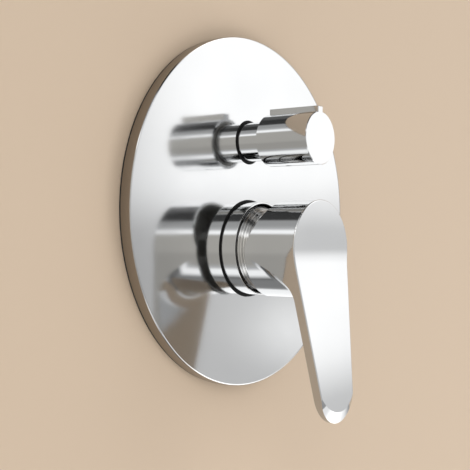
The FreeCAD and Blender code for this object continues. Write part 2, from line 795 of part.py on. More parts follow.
def pipe_union(mouth, inward):
    """Screw-in end of an arm: eight-sided head, pipe thread, and a spigot in the arm."""
    head_end = mouth + inward * UNION_HEAD
    spigot_end = head_end + inward * UNION_SPIGOT
    head = prism(inward, mouth, UNION_HEAD, 2 * (arm_r + OCTAGON_STEP), 8)
    spigot = rod(head_end, spigot_end, spigot_r)
    thread = rod(mouth, mouth + inward * THREAD_LEN, THREAD_R)
    channel = rod(mouth, spigot_end, CHANNEL_R)
    return head.fuse(spigot).cut(thread).cut(channel)


def bypass_duct():
    """Round rib behind the barrels, with tapered ends, that holds the bypass bore."""
    rib_r = BYPASS_R + BYPASS_WALL
    taper = rib_r / 2
    back_y = pipe_y + BYPASS_DROP
    top_z = KNOB_Z + DIVERTER_PORT_R + BYPASS_WALL
    low_z = LEVER_Z - BYPASS_TURN - rib_r
    pieces = [
        rod((0, back_y, low_z), (0, back_y, top_z), rib_r),
        Part.makeCone(rib_r, taper, taper, Vector(0, back_y, top_z)),
        Part.makeCone(rib_r, taper, taper, Vector(0, back_y, low_z), Vector(0, 0, -1)),
    ]
    return fused(pieces)


def fixing_bar():
    """Flat bar across the back with an ear and a screw hole at each end."""
    back_y = pipe_y + arm_r / 2
    front_y = back_y - LUG_T
    half = LUG_SPAN / 2
    bar = block((-half, front_y, LUG_Z - LUG_R), (half, back_y, LUG_Z + LUG_R))
    for x in (-half, half):
        bar = bar.fuse(rod((x, front_y, LUG_Z), (x, back_y, LUG_Z), LUG_R))
    for x in (-half, half):
        bar = bar.cut(rod((x, front_y, LUG_Z), (x, back_y, LUG_Z), LUG_HOLE_R))
    return bar


def body_outside():
    half_bridge = BRIDGE_W / 2
    pieces = [
        turned(LEVER_Z, [
            (neck_front_y, 0),
            (neck_front_y, neck_r),
            (land_front_y, neck_r),
            (land_front_y, sleeve_bore_r - LAND_GAP),
            (body_front_y, sleeve_bore_r - LAND_GAP),
            (body_front_y, body_r),
            (pipe_y, body_r),
            (pipe_y, 0),
        ]),
        rod((0, diverter_mouth_y, KNOB_Z), (0, pipe_y, KNOB_Z), diverter_r),
        rod((UNION_HEAD - INLET_REACH, pipe_y, LEVER_Z), (INLET_REACH - UNION_HEAD, pipe_y, LEVER_Z), arm_r),
        rod((0, pipe_y, UNION_HEAD - OUTLET_BOTTOM), (0, pipe_y, OUTLET_TOP - UNION_HEAD), arm_r),
        block((-half_bridge, body_front_y, LEVER_Z), (half_bridge, pipe_y, KNOB_Z)),
        bypass_duct(),
        fixing_bar(),
    ]
    return fused(pieces)


def body_waterways():
    """Chambers, sockets for the unions and the ducts between them."""
    mixed_low_z = LEVER_Z + MIXED_PORT_Z - MIXED_R
    link_z = KNOB_Z - diverter_bore_r
    link_front_y = body_front_y + LINK_R
    upper_low_z = KNOB_Z + DIVERTER_PITCH - DIVERTER_PORT_R / 2
    back_y = pipe_y + BYPASS_DROP
    lower_z = LEVER_Z - BYPASS_TURN
    lower_top_z = lower_z + BYPASS_R
    cuts = [
        rod((0, neck_front_y, LEVER_Z), (0, floor_y, LEVER_Z), chamber_r),
        rod((0, neck_front_y, LEVER_Z), (0, shoulder_y, LEVER_Z), nut_r + RUN_FIT),
        rod((0, diverter_mouth_y, KNOB_Z), (0, seat_y, KNOB_Z), diverter_bore_r),
        rod((0, pipe_y, mixed_low_z), (0, pipe_y, link_z), MIXED_R),
        rod((0, pipe_y, link_z), (0, link_front_y, link_z), LINK_R),
        rod((0, pipe_y, upper_low_z), (0, pipe_y, OUTLET_TOP), CHANNEL_R),
        rod((0, pipe_y, lower_top_z), (0, pipe_y, -OUTLET_BOTTOM), CHANNEL_R),
        rod((0, seat_y, KNOB_Z + DIVERTER_PITCH), (0, pipe_y, KNOB_Z + DIVERTER_PITCH), DIVERTER_PORT_R),
        rod((DIVERTER_PITCH, seat_y, KNOB_Z), (DIVERTER_PITCH, back_y, KNOB_Z), DIVERTER_PORT_R),
        rod((0, back_y, KNOB_Z + DIVERTER_PORT_R), (0, back_y, lower_z), BYPASS_R),
        rod((0, pipe_y, lower_z), (0, back_y, lower_z), BYPASS_R - BYPASS_STEP),
    ]
    for side in (-1, 1):
        mouth = side * INLET_REACH
        cuts.append(rod((mouth, pipe_y, LEVER_Z), (side * CHANNEL_END, pipe_y, LEVER_Z), CHANNEL_R))
    for mouth, inward in UNIONS.values():
        cuts.append(rod(mouth, mouth + inward * (UNION_HEAD + UNION_SPIGOT + SEAT_GAP), arm_bore_r))
    cuts += port_holes(floor_y, pipe_y, PORT_R)
    for x in peg_places():
        peg_end_y = floor_y + PEG_LEN
        cuts.append(rod((x, floor_y, LEVER_Z), (x, peg_end_y, LEVER_Z), PEG_R + SLIDE_FIT))
    groove_y = land_front_y + LAND_LEN / 2
    groove_half = NECK_SEAL_D / 2 + SLIDE_FIT
    groove_r = sleeve_bore_r - RUN_FIT - NECK_SEAL_D - RUN_FIT
    cuts.append(tube(LEVER_Z, groove_y - groove_half, groove_y + groove_half, groove_r, sleeve_bore_r))
    return cuts


def valve_body():
    solid = body_outside()
    for cut in body_waterways():
        solid = solid.cut(cut)
    return solid


# Diverter head


def diverter_bonnet():
    """Brass head: spindle tube, hexagon, thread and the open cage for the discs."""
    cage_back_y = seat_y - CAGE_GAP
    shell = turned(KNOB_Z, [
        (tube_front_y, spindle_bore_r),
        (tube_front_y, tube_r),
        (hex_back_y, tube_r),
        (hex_back_y, bonnet_thread_r),
        (cage_front_y, bonnet_thread_r),
        (cage_front_y, cage_r),
        (cage_back_y, cage_r),
        (cage_back_y, cage_bore_r),
        (cage_front_y, cage_bore_r),
        (cage_front_y, spindle_bore_r),
    ])
    across_flats = 2 * (bonnet_thread_r + BONNET_HEX_STEP)
    hexagon = prism(Vector(0, 1, 0), (0, hex_front_y, KNOB_Z), BONNET_HEX_T, across_flats, 6)
    bore = rod((0, tube_front_y, KNOB_Z), (0, cage_front_y, KNOB_Z), spindle_bore_r)
    window_y = rotor_front_y - DRIVER_T / 2
    across = rod((-cage_r, window_y, KNOB_Z), (cage_r, window_y, KNOB_Z), WINDOW_R)
    upright = rod((0, window_y, KNOB_Z - cage_r), (0, window_y, KNOB_Z + cage_r), WINDOW_R)
    return shell.fuse(hexagon).cut(bore).cut(across).cut(upright).removeSplitter()


def bonnet_seal():
    inner_r = bonnet_thread_r + RUN_FIT
    return tube(KNOB_Z, hex_back_y, diverter_mouth_y, inner_r, inner_r + BONNET_SEAL_W)


def spindle_groove_places():
    """Middle of each seal groove, at a third and two thirds of the bonnet's bore."""
    run = cage_front_y - tube_front_y
    return [tube_front_y + run / 3, tube_front_y + run * 2 / 3]


def diverter_spindle():
    nose_y = knob_front_y + KNOB_FACE_WALL + FIN_H
    clip_front_y = tube_front_y - RUN_FIT - CLIP_T
    spindle = rod((0, clip_front_y - CLIP_T, KNOB_Z), (0, driver_front_y, KNOB_Z), SPINDLE_R)
    nose = rod((0, nose_y, KNOB_Z), (0, clip_front_y - CLIP_T, KNOB_Z), SPINDLE_NOSE_R)
    bar_half = diverter_disc_r - SLIDE_FIT - PART_GAP
    bar = block((-bar_half, driver_front_y, -DRIVER_W / 2), (bar_half, rotor_front_y, DRIVER_W / 2))
    bar = bar.common(rod((0, driver_front_y, 0), (0, rotor_front_y, 0), bar_half))
    bar.rotate(Vector(0, 0, 0), Vector(0, 1, 0), 45)
    bar.translate(Vector(0, 0, KNOB_Z))
    flat_z = KNOB_Z - SPINDLE_NOSE_R + SPINDLE_FLAT
    flat = block(
        (-SPINDLE_NOSE_R, nose_y, KNOB_Z - SPINDLE_NOSE_R),
        (SPINDLE_NOSE_R, knob_rear_y - KNOB_BOSS_INSET, flat_z),
    )
    spindle = spindle.fuse(nose).fuse(bar).cut(flat)
    ring_half = SPINDLE_SEAL_D / 2 + SLIDE_FIT
    ring_r = SPINDLE_R - SPINDLE_SEAL_D - RUN_FIT
    for y in spindle_groove_places():
        spindle = spindle.cut(tube(KNOB_Z, y - ring_half, y + ring_half, ring_r, spindle_bore_r))
    groove_r = SPINDLE_R - CLIP_GROOVE
    clip_back_y = tube_front_y - RUN_FIT
    spindle = spindle.cut(tube(KNOB_Z, clip_front_y, clip_back_y, groove_r, spindle_bore_r))
    return spindle.removeSplitter()


def spindle_seals():
    inner_r = SPINDLE_R - SPINDLE_SEAL_D
    rings = [seal_ring(0, y, KNOB_Z, inner_r, SPINDLE_SEAL_D) for y in spindle_groove_places()]
    return Part.makeCompound(rings)


def spindle_clip():
    """Open spring ring that keeps the spindle in the bonnet."""
    inner_r = SPINDLE_R - CLIP_GROOVE + RUN_FIT
    outer_r = inner_r + CLIP_W
    front_y = tube_front_y - RUN_FIT - CLIP_T + DISC_FILM
    back_y = tube_front_y - RUN_FIT - DISC_FILM
    ring = tube(KNOB_Z, front_y, back_y, inner_r, outer_r)
    half = CLIP_MOUTH / 2
    mouth = block((-half, front_y, KNOB_Z - outer_r), (half, back_y, KNOB_Z))
    return ring.cut(mouth)


def disc_with_ports(y_front, y_back, radius, places):
    disc = rod((0, y_front, KNOB_Z), (0, y_back, KNOB_Z), radius)
    for x, z in places:
        disc = disc.cut(rod((x, y_front, KNOB_Z + z), (x, y_back, KNOB_Z + z), DIVERTER_PORT_R))
    return disc


def diverter_ports():
    """Port to the upper outlet above the axis, port to the lower outlet beside it."""
    return [(0, DIVERTER_PITCH), (DIVERTER_PITCH, 0)]


def diverter_moving_disc():
    side = DIVERTER_PITCH * math.sqrt(0.5)
    radius = diverter_disc_r - SLIDE_FIT
    return disc_with_ports(rotor_front_y, rotor_back_y, radius, [(side, side)])


def diverter_fixed_disc():
    return disc_with_ports(stator_front_y, seal_front_y, diverter_disc_r, diverter_ports())


def diverter_seat_seal():
    return disc_with_ports(seal_front_y, seat_y, diverter_disc_r, diverter_ports())


# Knob and collar


def knob_collar():
    return tube(KNOB_Z, collar_front_y, hex_front_y, collar_bore_r, collar_r)


def knob_screw_y():
    return knob_rear_y - KNOB_SCREW_BACK


def diverter_knob():
    """Hollow knob with a fin along its top, flush with the end face."""
    barrel = rod((0, knob_rear_y, KNOB_Z), (0, knob_front_y, KNOB_Z), KNOB_R)
    half = FIN_W / 2
    fin = block(
        (-half, knob_front_y, KNOB_Z),
        (half, knob_rear_y - FIN_INSET, KNOB_Z + KNOB_R + FIN_H),
    )
    knob = barrel.fuse(fin).removeSplitter()
    end_edges = [e for e in knob.Edges if e.BoundBox.YMax < knob_front_y + KNOB_EDGE]
    knob = knob.makeChamfer(KNOB_EDGE, end_edges)
    cavity_y = knob_front_y + KNOB_FACE_WALL
    boss_y = knob_rear_y - KNOB_BOSS_INSET
    cavity = rod((0, knob_rear_y, KNOB_Z), (0, cavity_y, KNOB_Z), KNOB_R - KNOB_WALL)
    boss = rod((0, boss_y, KNOB_Z), (0, cavity_y, KNOB_Z), KNOB_BOSS_R)
    bore = rod((0, boss_y, KNOB_Z), (0, cavity_y, KNOB_Z), SPINDLE_NOSE_R + RUN_FIT)
    y = knob_screw_y()
    screw_hole = rod((0, y, KNOB_Z), (0, y, KNOB_Z - KNOB_R), KNOB_SCREW_R + RUN_FIT)
    return knob.cut(cavity).fuse(boss).cut(bore).cut(screw_hole).removeSplitter()


def knob_grub_screw():
    flat_z = KNOB_Z - SPINDLE_NOSE_R + SPINDLE_FLAT
    return socket_screw((0, knob_screw_y(), flat_z - RUN_FIT), KNOB_SCREW_R, KNOB_SCREW_LEN)


NODES = {
    "cover_plate": cover_plate,
    "plate_gasket": plate_gasket,
    "sleeve_seal": lambda: plate_seal(LEVER_Z, sleeve_r, lever_hole_r),
    "collar_seal": lambda: plate_seal(KNOB_Z, collar_r, knob_hole_r),
    "lever_sleeve": lever_sleeve,
    "neck_seal": neck_seal,
    "dome_cap": dome_cap,
    "retaining_nut": retaining_nut,
    "cartridge_housing": cartridge_housing,
    "turn_guide": turn_guide,
    "stem_pivot_pin": stem_pivot_pin,
    "cartridge_stem": cartridge_stem,
    "disc_carrier": disc_carrier,
    "moving_disc": moving_disc,
    "fixed_disc": fixed_disc,
    "disc_seals": lambda: port_seals(fixed_back_y + RUN_FIT + PORT_SEAL_D / 2),
    "cartridge_base": cartridge_base,
    "base_seals": lambda: port_seals(floor_y - RUN_FIT - PORT_SEAL_D / 2),
    "lever_handle": lever_handle,
    "lever_grub_screw": lever_grub_screw,
    "lever_plug": lever_plug,
    "valve_body": valve_body,
    **{name: lambda ends=ends: pipe_union(*ends) for name, ends in UNIONS.items()},
    "knob_collar": knob_collar,
    "diverter_bonnet": diverter_bonnet,
    "bonnet_seal": bonnet_seal,
    "diverter_spindle": diverter_spindle,
    "spindle_seals": spindle_seals,
    "spindle_clip": spindle_clip,
    "diverter_moving_disc": diverter_moving_disc,
    "diverter_fixed_disc": diverter_fixed_disc,
    "diverter_seat_seal": diverter_seat_seal,
    "diverter_knob": diverter_knob,
    "knob_grub_screw": knob_grub_screw,
}

os.makedirs("parts", exist_ok=True)
for node, make in NODES.items():
    shape = make()
    shape.exportStep(f"parts/{node}.step")
    print(f"{node}: {len(shape.Solids)} solid, {shape.Volume / 1000:.2f} cm3, valid {shape.isValid()}")
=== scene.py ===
# %% [markdown]
# A built-in shower valve: a round chrome plate on the wall, a mixing lever below
# and a diverter knob above, with the brass body behind the wall.
# The solids are loaded as a fixed frame, in metres. This lesson gives them their
# finish, and adds what is finer than the solids: threads, buffed edges and the
# skin of the casting.

import json
import math

import bmesh
import bpy
from mathutils import Matrix, Vector


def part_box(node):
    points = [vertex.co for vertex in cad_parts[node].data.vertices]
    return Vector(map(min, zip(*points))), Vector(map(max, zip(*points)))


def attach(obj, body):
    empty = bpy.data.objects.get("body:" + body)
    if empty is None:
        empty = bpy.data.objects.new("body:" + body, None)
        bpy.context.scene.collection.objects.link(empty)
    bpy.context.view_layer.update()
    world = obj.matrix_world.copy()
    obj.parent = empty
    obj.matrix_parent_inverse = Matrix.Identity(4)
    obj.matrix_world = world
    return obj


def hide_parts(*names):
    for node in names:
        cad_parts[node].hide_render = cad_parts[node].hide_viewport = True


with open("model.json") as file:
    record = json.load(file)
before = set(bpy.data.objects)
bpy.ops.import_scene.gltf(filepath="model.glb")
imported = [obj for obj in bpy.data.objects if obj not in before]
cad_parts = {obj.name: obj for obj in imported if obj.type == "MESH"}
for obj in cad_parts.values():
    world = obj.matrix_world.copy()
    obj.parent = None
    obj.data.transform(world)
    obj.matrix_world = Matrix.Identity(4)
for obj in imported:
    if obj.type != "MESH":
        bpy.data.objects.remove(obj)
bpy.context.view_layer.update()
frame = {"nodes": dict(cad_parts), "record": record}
scene = bpy.context.scene
scene.view_settings.view_transform = "Standard"
MM = 0.001

# %% [markdown]
# The camera stands to the left of the fitting, level with the middle of the plate.
# It could be placed by eye, but chrome shows every small mistake in its reflections.
# So its place and lens were fitted to the outlines of the plate, the sleeve and the
# knob, and each round thing falls on the same ellipse as in the photograph.

# %% Camera
CAMERA_AZIMUTH = math.radians(-52.483)
CAMERA_ELEVATION = math.radians(0.116)
CAMERA_DISTANCE = 0.49826
CAMERA_TARGET = Vector((-16.449, -10.6, -11.418)) * MM
LENS_MM = 80.05
SENSOR_MM = 36.0
NEAREST_SEEN = 0.01

backward = Vector((
    math.sin(CAMERA_AZIMUTH) * math.cos(CAMERA_ELEVATION),
    -math.cos(CAMERA_AZIMUTH) * math.cos(CAMERA_ELEVATION),
    math.sin(CAMERA_ELEVATION),
))
camera = bpy.data.objects.new("camera", bpy.data.cameras.new("camera"))
camera.data.lens = LENS_MM
camera.data.sensor_width = SENSOR_MM
camera.data.clip_start = NEAREST_SEEN
camera.location = CAMERA_TARGET + backward * CAMERA_DISTANCE
camera.rotation_euler = (-backward).to_track_quat("-Z", "Y").to_euler()
scene.collection.objects.link(camera)
scene.camera = camera
print("camera at", [round(v, 4) for v in camera.location])

# %% [markdown]
# Every material below is a small graph of nodes. It could be wired by hand, socket by
# socket. These helpers add a node with its settings and wire it in one line instead,
# so that a graph reads like a formula.


# %% Helpers for node graphs
def add(tree, kind, settings=None, **inputs):
    """Add a node; inputs are constants or sockets to wire in, and _0 is input number 0."""
    made = tree.nodes.new(kind)
    for name, value in (settings or {}).items():
        setattr(made, name, value)
    for name, value in inputs.items():
        key = int(name[1:]) if name[1:].isdigit() else name.replace("_", " ")
        if isinstance(value, bpy.types.NodeSocket):
            tree.links.new(value, made.inputs[key])
        else:
            made.inputs[key].default_value = value
    return made


def calc(tree, operation, *values):
    """One step of arithmetic on constants or sockets."""
    numbered = {f"_{k}": value for k, value in enumerate(values)}
    return add(tree, "ShaderNodeMath", {"operation": operation}, **numbered).outputs[0]


def blend(tree, mask, first, second):
    """Colour that goes from the first to the second as the mask goes from 0 to 1."""
    return add(tree, "ShaderNodeMix", {"data_type": "RGBA"}, _0=mask, _6=first, _7=second).outputs[2]


def ramp(tree, factor, stops):
    """Colour ramp from (position, colour) stops."""
    made = add(tree, "ShaderNodeValToRGB", Fac=factor)
    elements = made.color_ramp.elements
    while len(elements) < len(stops):
        elements.new(1.0)
    for element, (position, colour) in zip(elements, stops):
        element.position = position
        element.color = (*colour, 1.0)
    return made.outputs["Color"]


def surface_place(tree):
    """The point on the surface, in the coordinates of its own object."""
    return add(tree, "ShaderNodeTexCoord").outputs["Object"]


def empty_material(name):
    material = bpy.data.materials.new(name)
    material.use_nodes = True
    material.node_tree.nodes.clear()
    return material


# %% [markdown]
# Chrome is a mirror: what makes it look like chrome is the room around it. A picture
# of a room could give the reflections, but single panels can be set one by one. So a
# light tent, a wide tube round the fitting, stands in for the room. Its bright and
# dark panels run straight out from the wall, and show as long stripes on the barrels.
# The tent is hidden from the camera, and only the metal and the light see it.

# %% Panels of the light tent
TENT_RADIUS = 2.0
TENT_LENGTH = 3.0
TENT_STRENGTH = 3.0
TENT_SIDES = 96
WARM = (1.04, 1.0, 0.93)
NEUTRAL = (1.0, 1.0, 1.0)
# Levels by the angle round the tent: 0 is left, 90 is up and 180 is right.
# Between two angles the level runs on evenly, so a panel has an edge as wide as the step.
PANELS = [
    (-180, 1.00, NEUTRAL), (-174, 0.90, NEUTRAL), (-168, 0.84, NEUTRAL), (-163, 0.92, NEUTRAL),
    (-157, 2.70, NEUTRAL), (-114, 2.70, NEUTRAL), (-109, 0.95, NEUTRAL),
    (-104, 0.60, NEUTRAL), (-82, 0.60, NEUTRAL), (-78, 0.34, NEUTRAL), (-74, 1.10, NEUTRAL),
    (-66, 2.70, NEUTRAL), (-56, 2.80, NEUTRAL), (-48, 1.25, NEUTRAL),
    (-38, 0.95, WARM), (-16, 0.93, WARM), (-8, 1.10, WARM), (32, 1.10, WARM),
    (37, 2.90, NEUTRAL), (42, 2.90, NEUTRAL), (48, 1.30, NEUTRAL), (56, 0.95, NEUTRAL),
    (68, 0.90, NEUTRAL), (73, 0.12, NEUTRAL), (98, 0.10, NEUTRAL), (104, 0.28, NEUTRAL),
    (126, 0.28, NEUTRAL), (132, 2.70, NEUTRAL), (160, 1.80, NEUTRAL), (176, 1.80, NEUTRAL),
    (178, 1.46, NEUTRAL), (180, 1.00, NEUTRAL),
]
# Along the tent the light is full about 1.5 m out from the wall, and fades both ways.
FADE = [
    (-2.3, 0.52), (-1.95, 0.66), (-1.84, 0.85), (-1.74, 0.97), (-1.64, 1.0), (-1.4, 1.0),
    (-1.0, 0.95), (-0.5, 0.55), (0.0, 0.4),
]


def panel_light(tree, place):
    left = calc(tree, "MULTIPLY", place["X"], -1.0)
    angle = calc(tree, "ARCTAN2", place["Z"], left)
    turn = add(tree, "ShaderNodeMapRange", Value=angle, From_Min=-math.pi, From_Max=math.pi)
    stops = [((a + 180) / 360, [c * level / TENT_STRENGTH for c in tint]) for a, level, tint in PANELS]
    panels = ramp(tree, turn.outputs["Result"], stops)
    out = add(tree, "ShaderNodeMapRange", Value=place["Y"], From_Min=-TENT_LENGTH, From_Max=0.0)
    stops = [((y + TENT_LENGTH) / TENT_LENGTH, (level,) * 3) for y, level in FADE]
    fade = ramp(tree, out.outputs["Result"], stops)
    both = {"data_type": "RGBA", "blend_type": "MULTIPLY"}
    return add(tree, "ShaderNodeMix", both, _0=1.0, _6=panels, _7=fade).outputs[2]


print("tent panels:", len(PANELS))

# %% [markdown]
# On a flat mirror such as the plate, one soft glow tells more than a stripe does. It
# is a round spot of light on the right side of the tent, drawn out along the tube.

# %% Glow and tent
GLOW_ANGLE = math.radians(188.0)
GLOW_OUT = 1.31
GLOW_SPREAD = 0.172
GLOW_LEVEL = 0.62
GLOW_STRETCH = 0.60


def glow_light(tree, spot):
    centre = Vector((
        -TENT_RADIUS * math.cos(GLOW_ANGLE),
        -GLOW_OUT * GLOW_STRETCH,
        TENT_RADIUS * math.sin(GLOW_ANGLE),
    ))
    drawn = add(tree, "ShaderNodeVectorMath", {"operation": "MULTIPLY"}, _0=spot, _1=(1.0, GLOW_STRETCH, 1.0))
    off = add(tree, "ShaderNodeVectorMath", {"operation": "DISTANCE"}, _0=drawn.outputs[0], _1=centre)
    return add(
        tree, "ShaderNodeMapRange", {"interpolation_type": "SMOOTHSTEP"}, Value=off.outputs["Value"],
        From_Min=0.0, From_Max=GLOW_SPREAD, To_Min=GLOW_LEVEL / TENT_STRENGTH, To_Max=0.0,
    ).outputs["Result"]


def tent_material():
    material = empty_material("light_tent")
    tree = material.node_tree
    spot = surface_place(tree)
    panels = panel_light(tree, add(tree, "ShaderNodeSeparateXYZ", Vector=spot).outputs)
    lit = add(tree, "ShaderNodeVectorMath", {"operation": "ADD"}, _0=panels, _1=glow_light(tree, spot))
    light = add(tree, "ShaderNodeEmission", Color=lit.outputs[0], Strength=TENT_STRENGTH)
    add(tree, "ShaderNodeOutputMaterial", Surface=light.outputs[0])
    return material


def tent_mesh():
    """Open tube about the Y axis, from the wall out into the room."""
    mesh = bpy.data.meshes.new("light_tent")
    ring = [2 * math.pi * k / TENT_SIDES for k in range(TENT_SIDES)]
    points = [
        (TENT_RADIUS * math.cos(a), y, TENT_RADIUS * math.sin(a))
        for y in (-TENT_LENGTH, 0) for a in ring
    ]
    ahead = [(k, (k + 1) % TENT_SIDES) for k in range(TENT_SIDES)]
    mesh.from_pydata(points, [], [(k, m, TENT_SIDES + m, TENT_SIDES + k) for k, m in ahead])
    return mesh


tent = bpy.data.objects.new("light_tent", tent_mesh())
tent.data.materials.append(tent_material())
tent.visible_camera = False
scene.collection.objects.link(tent)
print("tent faces:", len(tent.data.polygons))

# %% [markdown]
# The fitting hangs on a wall, so the wall is its backdrop: one plain pale sheet on
# the plane where the plate rests, with the round opening that the plate covers.
# A thick wall would hide the brass body, which is worth seeing. So the sheet is clear
# from behind, and light reaches the inside of the plate as well.

# %% Wall
WALL_OPENING = 79.0 * MM
WALL_REACH = 2.8
WALL_SIDES = 96
WALL_COLOUR = (0.671, 0.531, 0.398, 1.0)
WALL_ROUGHNESS = 0.85


def wall_material():
    material = empty_material("pale_wall")
    tree = material.node_tree
    paint = add(tree, "ShaderNodeBsdfPrincipled", Base_Color=WALL_COLOUR, Roughness=WALL_ROUGHNESS)
    clear = add(tree, "ShaderNodeBsdfTransparent")
    behind = add(tree, "ShaderNodeNewGeometry").outputs["Backfacing"]
    side = add(tree, "ShaderNodeMixShader", Fac=behind, _1=paint.outputs[0], _2=clear.outputs[0])
    add(tree, "ShaderNodeOutputMaterial", Surface=side.outputs[0])
    return material


def wall_mesh():
    """Flat ring about the opening, facing the room."""
    mesh = bpy.data.meshes.new("wall")
    ring = [2 * math.pi * k / WALL_SIDES for k in range(WALL_SIDES)]
    points = [(r * math.cos(a), 0, r * math.sin(a)) for r in (WALL_OPENING, WALL_REACH) for a in ring]
    ahead = [(k, (k + 1) % WALL_SIDES) for k in range(WALL_SIDES)]
    mesh.from_pydata(points, [], [(k, WALL_SIDES + k, WALL_SIDES + m, m) for k, m in ahead])
    return mesh


wall = bpy.data.objects.new("wall", wall_mesh())
wall.data.materials.append(wall_material())
scene.collection.objects.link(wall)
print("wall normal:", [round(v, 2) for v in wall.data.polygons[0].normal])

# %% [markdown]
# The world closes the open end of the tent, and it is the ground that the camera sees
# beside the wall. One even grey would do for the camera, but it makes flat chrome look
# like paint. So the camera sees one plain tone, while the metal sees a room that is
# lighter above than below, and faces that lean differ in tone when seen straight on.
# A lamp behind the wall lights the brass body.

# %% World and rear lamp
WORLD_COLOUR = (0.80, 0.79, 0.77, 1.0)
ROOM_LEVELS = [(0.0, 0.50), (0.36, 0.50), (0.50, 0.78), (0.64, 1.15), (1.0, 1.15)]
REAR_LAMP_WATTS = 9.0
REAR_LAMP_SIZE = 0.5
REAR_LAMP_PLACE = Vector((0.55, 0.75, 0.7))

world = bpy.data.worlds.new("pale_room")
world.use_nodes = True
room = world.node_tree
heading = add(room, "ShaderNodeSeparateXYZ", Vector=add(room, "ShaderNodeTexCoord").outputs["Generated"])
rise = add(room, "ShaderNodeMapRange", Value=heading.outputs["Z"], From_Min=-1.0, From_Max=1.0)
sky = ramp(room, rise.outputs["Result"], [(at, (level,) * 3) for at, level in ROOM_LEVELS])
seen = add(room, "ShaderNodeLightPath").outputs["Is Camera Ray"]
room.links.new(blend(room, seen, sky, WORLD_COLOUR), room.nodes["Background"].inputs["Color"])
scene.world = world

rear_lamp = bpy.data.objects.new("rear_lamp", bpy.data.lights.new("rear_lamp", "AREA"))
rear_lamp.data.energy = REAR_LAMP_WATTS
rear_lamp.data.size = REAR_LAMP_SIZE
rear_lamp.location = REAR_LAMP_PLACE
rear_lamp.rotation_euler = REAR_LAMP_PLACE.to_track_quat("Z", "Y").to_euler()
scene.collection.objects.link(rear_lamp)
print("room levels:", ROOM_LEVELS)

# %% [markdown]
# Finishes share a few effects. Each could be drawn again in every material, but as a
# node group it is built once, and each material gives it values of its own.
# polish: the soft haze and the faint waves that a buffing wheel leaves on chrome.
# grain: the even roughness of a blasted casting or of a moulded surface.

# %% Groups for polish and grain
NOISE_RANGE = {"From_Min": 0.3, "From_Max": 0.7}  # where most of a noise lies


def new_group(name, inputs, outputs):
    group = bpy.data.node_groups.new(name, "ShaderNodeTree")
    for label, value in inputs.items():
        socket = group.interface.new_socket(label, in_out="INPUT", socket_type="NodeSocketFloat")
        socket.default_value = value
    for label in outputs:
        group.interface.new_socket(label, in_out="OUTPUT", socket_type="NodeSocketFloat")
    return group, group.nodes.new("NodeGroupInput").outputs, group.nodes.new("NodeGroupOutput").inputs


def noise(tree, place, size, **inputs):
    return add(tree, "ShaderNodeTexNoise", Vector=place, Scale=size, **inputs).outputs["Fac"]


def spread(tree, value, **limits):
    """Stretch a noise to the range from 0 to 1, or to given limits."""
    return add(tree, "ShaderNodeMapRange", Value=value, **NOISE_RANGE, **limits).outputs["Result"]


def polish_group():
    group, given, result = new_group(
        "polish", {"Haze Size": 60.0, "Low": 0.02, "High": 0.06, "Wave Size": 18.0}, ["Roughness", "Height"])
    place = surface_place(group)
    haze = noise(group, place, given["Haze Size"], Detail=4.0)
    rough = spread(group, haze, To_Min=given["Low"], To_Max=given["High"])
    group.links.new(rough, result["Roughness"])
    group.links.new(noise(group, place, given["Wave Size"], Detail=1.0), result["Height"])
    return group


def grain_group():
    group, given, result = new_group(
        "grain", {"Grain Size": 1500.0, "Patch Size": 60.0, "Low": 0.3, "High": 0.5},
        ["Height", "Patches", "Roughness"])
    place = surface_place(group)
    fine = noise(group, place, given["Grain Size"], Detail=3.0, Roughness=0.65)
    patch = noise(group, place, given["Patch Size"], Detail=5.0, Roughness=0.6)
    rough = spread(group, patch, To_Min=given["Low"], To_Max=given["High"])
    group.links.new(fine, result["Height"])
    group.links.new(spread(group, patch), result["Patches"])
    group.links.new(rough, result["Roughness"])
    return group


POLISH = polish_group()
GRAIN = grain_group()
print("groups:", POLISH.name, GRAIN.name)

# %% [markdown]
# Three more effects go by the shape of the pieces, which are mostly round about an
# axis that points out of the wall. So they start from the distance to that axis.
# lathe: fine rings about the axis, as a turning tool leaves them.
# inside: a mask for the inside of a hollow piece, which no buffing wheel reaches; it also places
# the painted shade inside the knob and on the plate's rim.
# bend: the height of a face that turns away from its plane past a line, so slightly
# that only its reflections show it.


# %% Groups for turned, hollow and bent pieces
def from_axis(tree, axis_z):
    """The point on the surface, and its distance from an axis along Y at a given height."""
    place = add(tree, "ShaderNodeSeparateXYZ", Vector=surface_place(tree)).outputs
    rise = calc(tree, "SUBTRACT", place["Z"], axis_z)
    flat = add(tree, "ShaderNodeCombineXYZ", X=place["X"], Y=rise)
    radius = add(tree, "ShaderNodeVectorMath", {"operation": "LENGTH"}, _0=flat.outputs[0])
    return place, radius.outputs["Value"]


def lathe_group():
    """Rings about the axis on a front face, and along the axis on a barrel."""
    group, given, result = new_group(
        "lathe", {"Axis Z": 0.0, "Rings": 9000.0, "Low": 0.2, "High": 0.35}, ["Height", "Roughness"])
    place, radius = from_axis(group, given["Axis Z"])
    along = add(group, "ShaderNodeCombineXYZ", X=calc(group, "ADD", radius, place["Y"]))
    lines = noise(group, along.outputs[0], given["Rings"], Detail=2.0)
    rough = spread(group, lines, To_Min=given["Low"], To_Max=given["High"])
    group.links.new(lines, result["Height"])
    group.links.new(rough, result["Roughness"])
    return group


def inside_group():
    """1 within a radius about the axis and behind a given depth, and 0 elsewhere."""
    group, given, result = new_group("inside", {"Axis Z": 0.0, "Radius": 0.02, "Start Y": 0.0}, ["Mask"])
    place, radius = from_axis(group, given["Axis Z"])
    within = calc(group, "LESS_THAN", radius, given["Radius"])
    behind = calc(group, "GREATER_THAN", place["Y"], given["Start Y"])
    group.links.new(calc(group, "MULTIPLY", within, behind), result["Mask"])
    return group


